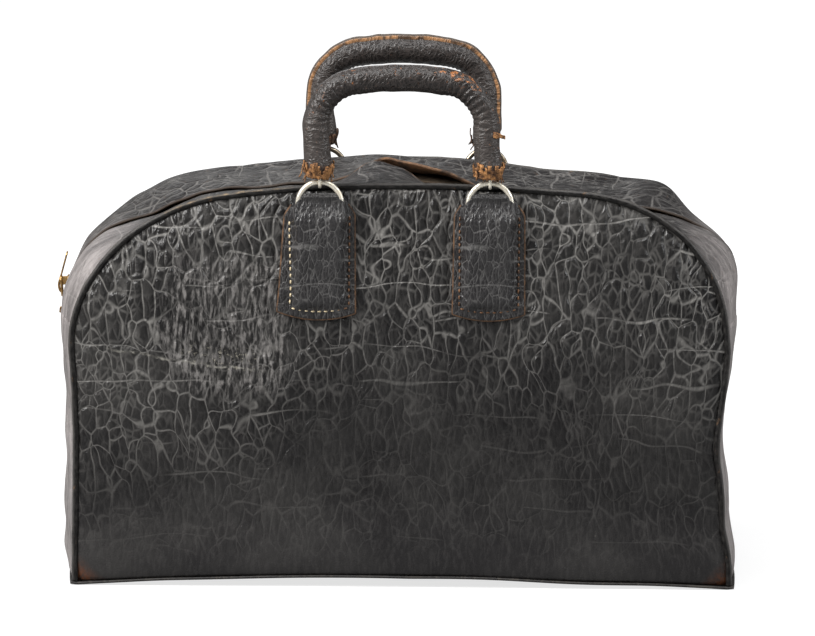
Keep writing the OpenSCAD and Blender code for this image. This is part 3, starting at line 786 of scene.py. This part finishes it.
def teeth_row(side, label):
    """A small waisted block for each tooth, half a pitch from the other row's."""
    at = np.arange(START + 0.001 + (0 if side < 0 else TOOTH_PITCH / 2), END - 0.001, TOOTH_PITCH)
    waist = [(0.0034, 1.0), (0.0026, 0.8), (0.0012, 0.72), (0.0002, 1.0), (-0.0007, 0.8)]
    block, faces = [], []
    for c in at:
        k = len(block)
        for yy, fat in waist:
            for ds, dr in ((-0.5, 0), (0.5, 0), (0.5, 1), (-0.5, 1)):
                off = float(zip_height(np.array(c))) - 0.0040 + 0.0026 * (dr if yy > 0 else 0.15 + 0.7 * dr)
                px, pz, _, _ = BAG.at(np.array(c + ds * 0.0013 * fat), off)
                block.append((float(px), side * yy, float(pz)))
        tooth = [[k, k + 3, k + 2, k + 1], [k + 16, k + 17, k + 18, k + 19]]
        for i in range(k, k + 16, 4):
            tooth += [[i + j, i + (j + 1) % 4, i + (j + 1) % 4 + 4, i + j + 4] for j in range(4)]
        faces += tooth if side > 0 else [f[::-1] for f in tooth]
    per_tooth = 4 * len(waist)
    uv = np.array(block)[:, [0, 2]] * 1000
    teeth = link(f"{label}_zip_teeth_row", worn(np.array(block)), faces, uv, brass_mat, False)
    bend(teeth, np.repeat(at, per_tooth), np.full(len(block), side * 0.003))
    softened(teeth, 0.00018, 1)
    end = "left" if side < 0 else "right"
    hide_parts(f"{label}_zip_teeth", f"{end}_zip_teeth", f"{end}_zip_tape")


for side, label in SIDES:
    top_gusset(side, label)
    top_cloth(side, label)
    teeth_row(side, label)

# ---- Stops at both ends of the zip ----
stops = []
for s0, y0, y1 in (
    (ZIP_END - 0.0046, -0.0034, 0.0034),
    (TOTAL - ZIP_END + 0.0012, 0.0007, 0.0021),
    (TOTAL - ZIP_END + 0.0012, -0.0021, -0.0007),
):
    s, y, p = strip(s0, s0 + 0.0034, y0, y1, -0.0013, 5, 5, even=True)
    stops.append(applied(skin("stop", worn(p), millimetres(y, s), brass_mat, 0.0013), "thickness"))
stops = join("zip_end_stops", stops)
softened(stops, 0.0003)
rides(stops, "shell", "zip_brass", "zip_stops")


# ---- Slider and pull, sitting on the worn zip ----
def plate(outline, x0, x1):
    """A brass plate of the given y, z outline between two x values, with its edges softened."""
    n = len(outline)
    verts = [(x, y, z) for x in (x0, x1) for y, z in outline]
    faces = [list(range(n)), list(range(2 * n - 1, n - 1, -1))]
    faces += [[j, j + n, (j + 1) % n + n, (j + 1) % n] for j in range(n)]
    obj = link("bit", verts, faces, np.array(verts)[:, 1:] * 1000, brass_mat, False)
    softened(obj, 0.0004)
    return applied(obj, "soft_edges")


def rounded(half_low, half_high, z0, z1):
    """An outline that widens from z0 to z1 and is round at both ends."""
    a = np.linspace(0, math.pi, 9)
    low = [(-half_low * math.cos(q), z0 + half_low * 0.6 * (1 - math.sin(q))) for q in a]
    high = [(half_high * math.cos(q), z1 - half_high * 0.6 * (1 - math.sin(q))) for q in a]
    return low + high


def turned(obj, lean, x, z):
    """Leans obj about a line along y."""
    co = points(obj)
    dx, dz = co[:, 0] - x, co[:, 2] - z
    co[:, 0] = x + dx * math.cos(lean) - dz * math.sin(lean)
    co[:, 2] = z + dx * math.sin(lean) + dz * math.cos(lean)
    obj.data.vertices.foreach_set("co", co.ravel())
    return obj


slide_lo, slide_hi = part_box("zip_slider")
pull_lo, pull_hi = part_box("zip_pull")
outer = slide_lo.x - 0.0044
low, high = slide_lo.z + 0.0003, slide_hi.z - 0.0004
mid = (low + high) / 2
hoop = np.linspace(0, math.pi, 13)
hoop = np.stack([outer + 0.0006 - 0.0019 * np.sin(hoop), 0 * hoop, mid - 0.0044 * np.cos(hoop)], -1)
parts = [
    plate(rounded(0.0036, 0.0050, low, high), outer, outer + 0.0014),
    plate(rounded(0.0036, 0.0050, low, high), outer + 0.0052, outer + 0.0064),
    plate(rounded(0.0009, 0.0013, high - 0.0070, high - 0.0010), outer + 0.0010, outer + 0.0056),
    tube("bit", hoop, 0.0008, brass_mat, 8),
]
slider = turned(join("zip_slider_brass", parts), math.radians(4), outer, mid)
rides(slider, "slider", "zip_brass", "zip_slider")

PX, PZ = outer - 0.0012, pull_lo.z + 0.0016
loop = np.linspace(0, 2 * math.pi, 24, endpoint=False)
loop = np.stack([np.full(24, PX), 0.0026 * np.cos(loop), PZ + 0.0026 + 0.0030 * np.sin(loop)], -1)
parts = [
    plate(rounded(0.0026, 0.0036, PZ + 0.0034, pull_hi.z), PX - 0.0005, PX + 0.0006),
    tube("bit", loop, 0.00065, brass_mat, 8, closed=True),
]
pull = turned(join("zip_pull_brass", parts), math.radians(-15), PX, PZ)
rides(pull, "pull", "zip_brass", "zip_pull")

# ---- Welts ----
for side, label in SIDES:
    s = np.linspace(0.0024, TOTAL - 0.0024, 620)
    x, z, _, _ = BAG.at(s, 0.0002 + 0.00035 * ripple(s, s * 0, 0.05, 21))
    p = worn(np.stack([x, side * SEAM + 0.0003 * ripple(s, s * 0, 0.08, 22), z], -1))
    r = WELT_R * (0.98 + 0.06 * ripple(s, s * 0, 0.03, 23))
    rides(tube(f"{label}_welt", p, r, welt_mats[side], 16), "shell", "welt_leather", f"{label}_piping")
    cord = tube(f"{label}_welt_cord", p, CORD_R, cord_mat, 8)
    rides(cord, "shell", "welt_cord", f"{label}_piping_cord")

# ---- Tabs ----
NECK, WIDE = 0.0109, 0.0190
SHOULDER = RING.z - 0.0045
ROWS = 60  # rows of points up a tab's front; its fold and the short length behind follow them


def tab_half(z, flare):
    """Half width of a tab's raised part, and of its flat rim on one side."""
    slope = step(z, RING.z - 0.0120, RING.z - 0.0010)
    neck = step(z, RING.z - 0.0006, RING.z + 0.0026)
    raised = WIDE - 0.0018 * slope
    rim = 0.0232 - 0.0050 * slope + flare * np.clip((SHOULDER - z) / (SHOULDER - FOOT_Z), 0, 1)
    return raised + (NECK - raised) * neck, rim + (NECK - rim) * neck


def fullness(z):
    """How much of its full height the raised part has reached at a height z."""
    return 0.55 + 0.45 * step(z, FOOT_Z + 0.008, FOOT_Z + 0.060)


def follow_ring(obj):
    """Works out how much of a tab would give with its ring, the folded top and not the stitched part, and
    bakes obj's transform.
    """
    share = step(points(obj)[:, 2], RING.z - 0.012, RING.z + 0.003)
    shares(obj)


def tab_front(cx, lx, z, raised):
    """One row of a tab's front: how far each point stands from the middle of the bag, and its height."""
    foot = 0.0042 * (1 - np.clip(lx / 0.024, -1.2, 1.2) ** 2)
    sag = step(-z, -(FOOT_Z + 0.02), -FOOT_Z)
    zz = z - foot * sag + 0.0042 * sag
    flat = face(cx + lx, zz) + 0.0019
    up = step(zz, FOOT_Z + 0.004, FOOT_Z + 0.013)
    fall = 0.0062 - 0.0042 * step(z, RING.z - 0.022, RING.z - 0.010)
    across = 1 - step(np.abs(lx), raised - fall, raised + 0.0008)
    tall = (FRONT - flat) * (1 - 0.30 * step(z, RING.z - 0.016, RING.z - 0.001)) - 0.0004 * (lx / 0.019) ** 2
    neck = step(z, RING.z - 0.0006, RING.z + 0.0026)
    out = flat + tall * up * fullness(zz) * np.maximum(across, neck)
    tuck = step(z, RING.z - 0.0006, RING.z + 0.0028)
    out = out * (1 - tuck) + tuck * (-RING.y + 0.0030)
    return out + 0.0004 * ripple(lx, zz, 0.02, 31) * up, zz


def tab_strap(name, cx, side, flare_left, flare_right):
    """The strap and tab as one sheet: up the front, over the fold inside the ring and down behind it."""
    rows = [(z, "front", 0) for z in FOOT_Z + (RING.z + 0.0018 - FOOT_Z) * np.linspace(0, 1, ROWS)]
    rows += [(RING.z + 0.0022, "fold", a) for a in np.linspace(0.08, 0.96, 12) * math.pi]
    rows += [(z, "back", 0) for z in np.linspace(RING.z + 0.0006, RING.z - 0.018, 12)]
    v = np.linspace(-1, 1, 57)
    v = np.sign(v) * (0.45 * np.abs(v) + 0.55 * np.sin(np.abs(v) * math.pi / 2))
    pts = np.zeros((len(rows), len(v), 3))
    uv = np.zeros((len(rows), len(v), 2))
    for i, (z, kind, a) in enumerate(rows):
        _, rim_l = tab_half(z, flare_left)
        raised, rim_r = tab_half(z, flare_right)
        lx = np.where(v < 0, v * rim_l, v * rim_r)
        if kind == "front":
            out, zz = tab_front(cx, lx, z, raised)
        elif kind == "fold":
            out = np.full_like(lx, -RING.y + 0.0030 * math.cos(a))
            zz = np.full_like(lx, z - 0.0006 + 0.0030 * math.sin(a))
        else:
            f = step(-z, -(RING.z + 0.001), -(RING.z - 0.009))
            zz = np.full_like(lx, z)
            out = (-RING.y - 0.0030) * (1 - f) + f * (face(cx + lx, zz) + 0.0010)
            lx = v * NECK
        along = z if kind == "front" else RING.z + 0.004 * (i - ROWS + 1)
        pts[i] = np.stack([cx + lx, side * out, zz], -1)
        uv[i] = millimetres(lx, np.full_like(lx, along))
    return skin(name, worn(pts), uv, tab_mat, STRAP_HIDE, flip=side < 0), pts


def tab_pad(name, cx, side):
    """The stiff pad under the raised part: a front and a back, closed round their edge."""
    z = np.linspace(FOOT_Z + 0.013, RING.z - 0.021, 22)
    zz, xx = np.meshgrid(z, np.linspace(-1, 1, 17) * 0.0142, indexing="ij")
    flat = face(cx + xx, zz) + 0.0022
    tall = (FRONT - flat - 0.0034) * fullness(zz) * step(zz, FOOT_Z + 0.010, FOOT_Z + 0.018)
    front = np.stack([cx + xx, side * (flat + np.maximum(tall, 0.0006)), zz], -1)
    back = np.stack([cx + xx, side * flat, zz], -1)
    n, m = zz.shape
    faces = quads(n, m, flip=side < 0).tolist() + (quads(n, m, flip=side > 0) + n * m).tolist()
    rim = [i * m for i in range(n)] + [(n - 1) * m + j for j in range(1, m)]
    rim += [i * m + m - 1 for i in range(n - 2, -1, -1)] + list(range(m - 2, 0, -1))
    for a, b in zip(rim, rim[1:] + rim[:1]):
        q = [a, b, b + n * m, a + n * m]
        faces.append(q if side > 0 else q[::-1])
    both = worn(np.concatenate([front.reshape(-1, 3), back.reshape(-1, 3)]))
    return link(name, both, faces, np.concatenate([millimetres(xx, zz).reshape(-1, 2)] * 2), board_mat)


def seam_lines(pts, flare_left, flare_right):
    """Where a tab is stitched: inside both side edges and along the foot."""
    seams = []
    for edge, flare, inward in ((pts[:, 0], flare_left, 1), (pts[:, -1], flare_right, -1)):
        line = edge[4:ROWS - 9].copy()
        line[:, 0] += inward * (0.0033 + flare * 0.9 * step(-line[:, 2], -SHOULDER, -FOOT_Z - 0.01))
        seams.append(line)
    low = pts[2]
    low = low[(low[:, 0] > seams[0][0, 0]) & (low[:, 0] < seams[1][0, 0])]
    return seams + [low + np.array([0, 0, 0.0026])]


def stitches(line, side):
    """Short dips of thread along a line."""
    d = np.concatenate([[0], np.cumsum(np.linalg.norm(np.diff(line, axis=0), axis=1))])
    made = []
    for c in np.arange(0.002, d[-1] - 0.001, STITCH_PITCH):
        q = np.clip(np.linspace(c - STITCH_HALF, c + STITCH_HALF, 5), 0, d[-1])
        p = np.stack([np.interp(q, d, line[:, k]) for k in range(3)], -1)
        p[:, 1] = side * (face(p[:, 0], p[:, 2]) + 0.0019 + 0.0006)
        p[:, 1] -= side * np.array([0.0006, 0.0001, 0, 0.0001, 0.0006])
        made.append(tube("stitch", worn(p), THREAD_R, thread_mat, 6))
    return made


for side, label in SIDES:
    thread = []
    for hand, cx in (("left", -RING.x), ("right", RING.x)):
        wide = 0.0052 if (hand == "left") == (side < 0) else 0.0010
        flares = (wide, 0.0008) if side < 0 else (0.0008, wide)
        tab, pts = tab_strap(f"{label}_{hand}_tab_leather", cx, side, *flares)
        follow_ring(tab)
        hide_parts(f"{label}_{hand}_tab")
        left_edge, right_edge = pts[:ROWS - 4, 0], pts[:ROWS - 4, -1]
        around = np.vstack([left_edge[::-1], pts[0, 1:-1], right_edge])
        around = worn(around + np.array([0, -side * 0.0008, 0]))
        edge = tube(f"{label}_{hand}_tab_raw_edge", around, 0.00085, raw_mat, 8)
        follow_ring(edge)
        pad = tab_pad(f"{label}_{hand}_tab_pad", cx, side)
        rides(pad, "shell", "filler", f"{label}_{hand}_filler")
        for line in seam_lines(pts, *flares):
            thread += stitches(line, side)
    rides(join(f"{label}_tab_thread", thread), "shell", "thread", f"{label}_tab_stitches")


# ---- Handles ----
def handle_path(s):
    """The middle line of a handle, which leans a little to the left, and its outward normals."""
    x, z, nx, nz = HANDLE.at(s)
    return x - 0.0020 * step(z, LEG_END, LEG_END + 0.03), z, nx, nz


def drawn_in(rise):
    """How much of its radius a leg has at a height above its end."""
    return 0.66 + 0.34 * step(rise, 0.0, 0.0095)


def handle_cover(side, label):
    """The leather of a handle with its sewn edge. Returns its middle line and radii."""
    s = np.linspace(0, HANDLE.total, 330)
    m = 120
    phi = np.linspace(-math.pi, math.pi, m, endpoint=False)  # 0 is the middle of the sewn edge
    tilt = math.radians(56 if side < 0 else 24)
    x, z, nx, nz = handle_path(s)
    t = np.minimum(s, HANDLE.total - s)
    thick = 1 + (0.10 if side < 0 else 0.19) * step(t, 0.040, 0.085)
    body = thick * (HANDLE_R - 0.0008 * step(t, 0.02, 0.07)) * drawn_in(t)
    ss, pp = np.meshgrid(s, phi, indexing="ij")
    bent = hill(t, HANDLE.leg + HANDLE.arc * 0.5, HANDLE.arc * 0.55)[:, None]
    bent = bent * hill(np.abs(np.abs(pp) - math.pi), 0.3, 0.9)
    folds = 0.00045 * np.sin(ss * 2 * math.pi / 0.0047 + 1.5 * ripple(ss, pp * 0.01, 0.03, 41)) * bent
    r = body[:, None] + 0.00035 * ripple(ss, pp * 0.0095, 0.025, 40 + side) + folds
    ridge = np.exp(-(pp / 0.215) ** 6) * (0.0027 - 0.0007 * np.exp(-(pp / 0.07) ** 2))
    r = r + ridge * step(t, 0.007, 0.013)[:, None] * (0.9 + 0.12 * ripple(ss, ss * 0, 0.02, 43))
    ang = pp + tilt  # from the outward normal towards the middle of the bag
    out_c, in_c = np.cos(ang) * r, np.sin(ang) * r
    z = z + (0.0010 if side > 0 else 0.0009) * step(t, 0.02, 0.07)
    splay, shift = (0.0, -0.0008) if side < 0 else (0.0014, 0.0004)
    x = x + splay * np.sign(x) * step(t, 0.0, 0.03) + shift
    y = side * (-RING.y) - side * in_c
    p = np.stack([x[:, None] + nx[:, None] * out_c, y, z[:, None] + nz[:, None] * out_c], -1)
    faces = quads(len(s), m, wrap_m=True, flip=side > 0).tolist()
    verts, uvs = p.reshape(-1, 3), np.stack([ss * 1000, pp * 9.8], -1).reshape(-1, 2)
    for end in (0, len(s) - 1):  # the open end of each leg is drawn in towards the staple
        rim = slice(end * m, (end + 1) * m)
        centre = verts[rim].mean(0)
        ringlet = centre + (verts[rim] - centre) * 0.62
        ringlet[:, 2] += 0.0022
        first = len(verts)
        verts, uvs = np.vstack([verts, ringlet]), np.vstack([uvs, uvs[rim]])
        way = 1 if (end == 0) != (side > 0) else -1
        for j in range(m):
            k = (j + 1) % m
            faces.append([end * m + j, first + j, first + k, end * m + k][::way])
        faces.append([first + j for j in range(m)][::-way])
    cover = link(f"{label}_handle_leather", verts, faces, uvs, handle_mat)
    rides(cover, f"{label}_handle", "handle_leather", f"{label}_handle_cover")
    return x, z, body


def torn_sheet(grid, mat):
    return skin("bit", grid, grid[..., [0, 2]] * 1000, mat, TORN_HIDE)


def collar(side, leg, mat):
    """The lumpy torn rim of a leg's leather, kept low on the side that folds onto the tab."""
    ang = np.linspace(0, 2 * math.pi, 40, endpoint=False)
    torn = (0.0072 if side < 0 else 0.0040) + 0.0036 * ripple(ang * 0.0092, ang * 0 + leg, 0.017, 70 + side)
    torn = torn + 0.0014 * rng.uniform(-1, 1, 40)
    up = 0.0006 + np.linspace(0, 1, 14)[:, None] * (torn - 0.0006)[None]
    zz, aa = LEG_END + up, np.broadcast_to(ang, up.shape)
    open_side = 0.18 + 0.82 * np.abs(np.cos(aa)) ** 1.5 * np.where(np.cos(aa) < 0, 2.1, 0.50)
    lump = 0.5 + 0.5 * ripple(zz * 1.0, aa * 0.009 + leg * 0.3, 0.0055, 60 + side)
    lump = 0.0026 * lump * open_side * step(-up / torn[None], -1.0, -0.72)
    rr = HANDLE_R * drawn_in(zz - LEG_END) + 0.00025 + lump
    grid = np.stack([leg * RING.x + rr * np.cos(aa), side * (-RING.y) + rr * np.sin(aa), zz], -1)
    made = link("bit", grid, quads(14, 40, wrap_m=True, flip=True), np.stack([aa * 9, zz * 1000], -1), mat)
    thickened(made, TORN_HIDE)
    return made


STRANDS = 26


def strand(side, leg, k, mat):
    """A loose strand of leather that hangs from the torn end, short where the handle folds onto the tab."""
    a0 = 2 * math.pi * (k + rng.uniform(-0.4, 0.4)) / STRANDS
    away = 0.12 + 0.88 * abs(math.cos(a0)) ** 1.5 * (2.0 if math.cos(a0) < 0 else 0.6)
    outward = math.sin(a0) * side
    wide, long = rng.uniform(0.0010, 0.0034), rng.uniform(0.0045, 0.0130)
    start_z = LEG_END + rng.uniform(0.0035, 0.0125)
    lowest = LEG_END - 0.0004 if outward > 0.3 else PIVOT - 0.0010 if outward < -0.55 else PIVOT + 0.0004
    down = min(long, start_z - lowest)
    flare = rng.uniform(0.0002, 0.0034) * (0.0 if outward > 0.45 else away)
    grid = []
    for q in np.linspace(0, 1, 6):
        full = HANDLE_R * float(drawn_in(np.array(max(start_z - q * down - LEG_END, 0))))
        rr = (full if outward > 0.3 else max(full, 0.0066)) + 0.0003 + 0.0012 * away + flare * q ** 1.3
        narrow = wide * (1 - 0.6 * q ** 2)
        a = a0 + (np.linspace(-0.5, 0.5, 4) * narrow / rr + rng.uniform(-0.03, 0.03))
        zz = start_z - q * down + rng.uniform(-0.0004, 0.0004, 4) * q
        grid.append(np.stack([leg * RING.x + rr * np.cos(a), side * (-RING.y) + rr * np.sin(a), zz], -1))
    return torn_sheet(np.array(grid), mat)


def torn_strip(side, x, z, body, mat):
    """A torn strip that stands out from the right leg, part of the way up."""
    u, v = np.meshgrid(np.linspace(0, 1, 9), np.linspace(-0.5, 0.5, 6), indexing="ij")
    i = int(np.argmin(np.abs(z - 0.3125) + (x < 0)))
    a0, rr = -math.pi * 0.34 * (1 - u), body[i] + 0.0004 + 0.0034 * u ** 2
    wide = 0.0044 * (1 - 0.5 * u) * (1 + 0.3 * ripple(u * 0.01, v * 0.01, 0.004, 91))
    px, py = x[i] + rr * np.cos(a0), -RING.y * side + rr * np.sin(a0)
    return torn_sheet(np.stack([px, py, z[i] - 0.0024 * u ** 2 + v * wide], -1), mat)


for side, label in SIDES:
    x, z, body = handle_cover(side, label)
    bits = []
    for leg in (-1, 1):
        bits.append(collar(side, leg, fray_mats[side]))
        bits += [strand(side, leg, k, fray_mats[side]) for k in range(STRANDS)]
    if side < 0:
        bits.append(torn_strip(side, x, z, body, fray_mats[side]))
    frays = join(f"{label}_handle_frayed_ends", [applied(b, "thickness") for b in bits])
    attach(frays, f"{label}_handle")
    x, z, _, _ = handle_path(np.linspace(0.012, HANDLE.total - 0.012, 160))
    p = np.stack([x, np.full_like(x, side * -RING.y), z], -1)
    core = tube(f"{label}_handle_rope_core", p, CORE_R, cord_mat, 16)
    rides(core, f"{label}_handle", "core", f"{label}_handle_core")

# ---- Metal pieces keep their CAD shapes ----
for _, label in SIDES:
    for what in ("left_ring", "right_ring", "handle_staples"):
        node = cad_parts[f"{label}_{what}"]
        node.data.materials.clear()
        node.data.materials.append(nickel_mat if label == "front" else dull_nickel)
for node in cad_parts.values():
    if not node.hide_render:
        node.data.polygons.foreach_set("use_smooth", np.full(len(node.data.polygons), True))

# ---- Floor: it glows to the camera only, and fades a little under the bag ----
tree = Tree("pale_floor")
tree.done((0.30, 0.30, 0.30), 0.9, Specular_IOR_Level=0.0)
place = tree.node("ShaderNodeTexCoord", {}, "Object")
away = tree.node("ShaderNodeVectorMath", {0: place}, "Value", operation="LENGTH")
seen = tree.node("ShaderNodeLightPath", {}, "Is Camera Ray")
tree.bsdf["Emission Color"].default_value = (1, 1, 1, 1)
tree.put(tree.bsdf["Emission Strength"], seen * tree.ramp(away, 0.25, 1.6, 0.74, 1.0))
corners = [(-6, -6, 0), (6, -6, 0), (6, 6, 0), (-6, 6, 0)]
link("floor", corners, [range(4)], None, tree.mat)

# ---- World: white to the camera, dim as a light ----
world = bpy.data.worlds.new("studio")
bpy.context.scene.world = world
world.use_nodes = True
nodes, links = world.node_tree.nodes, world.node_tree.links
background = nodes["Background"].inputs
background["Color"].default_value = (1, 1, 1, 1)
level = nodes.new("ShaderNodeMapRange")
level.inputs["To Min"].default_value = 0.17
level.inputs["To Max"].default_value = 1.0
links.new(nodes.new("ShaderNodeLightPath").outputs["Is Camera Ray"], level.inputs["Value"])
links.new(level.outputs[0], background["Strength"])


# ---- Lights and camera ----
def softbox(name, place, aim, size, power, color=(1, 1, 1)):
    data = bpy.data.lights.new(name, "AREA")
    data.shape = "RECTANGLE"
    data.size, data.size_y = size
    data.energy = power
    data.color = color
    lamp = bpy.data.objects.new(name, data)
    bpy.context.scene.collection.objects.link(lamp)
    lamp.location = place
    lamp.rotation_euler = (Vector(aim) - Vector(place)).to_track_quat("-Z", "Y").to_euler()


softbox("key_left", (-1.5, -1.0, 1.35), (-0.10, 0, 0.20), (0.75, 1.1), 60, (1.0, 0.985, 0.97))
softbox("fill_right", (1.7, -0.4, 0.9), (0.10, 0, 0.20), (0.35, 1.1), 16, (0.97, 0.985, 1.0))
softbox("top", (0.0, -0.35, 1.35), (0, -0.02, 0.25), (1.6, 0.5), 19)
softbox("behind", (-0.6, 1.8, 1.3), (0, 0, 0.2), (1.4, 0.9), 7)

lens = bpy.data.cameras.new("camera")
camera = bpy.data.objects.new("camera", lens)
bpy.context.scene.collection.objects.link(camera)
bpy.context.scene.camera = camera
REACH, TILT, ROLL = 3.12, math.radians(9.5), math.radians(0.45)
SENSOR_MM, VIEW_WIDTH = 36, 815 * 0.000675  # the width in metres that is seen at the aim
lens.sensor_width = SENSOR_MM
lens.lens = SENSOR_MM * REACH / VIEW_WIDTH
lens.clip_start, lens.clip_end = 0.1, 50
aim = Vector((0.0024, -SEAM, 0.1859))
camera.location = aim + REACH * Vector((0, -math.cos(TILT), math.sin(TILT)))
look = (aim - camera.location).to_track_quat("-Z", "Y")
camera.rotation_euler = (look @ Quaternion((0, 0, 1), ROLL)).to_euler()

bpy.context.scene.view_settings.view_transform = "Standard"
bpy.context.scene.view_settings.look = "None"
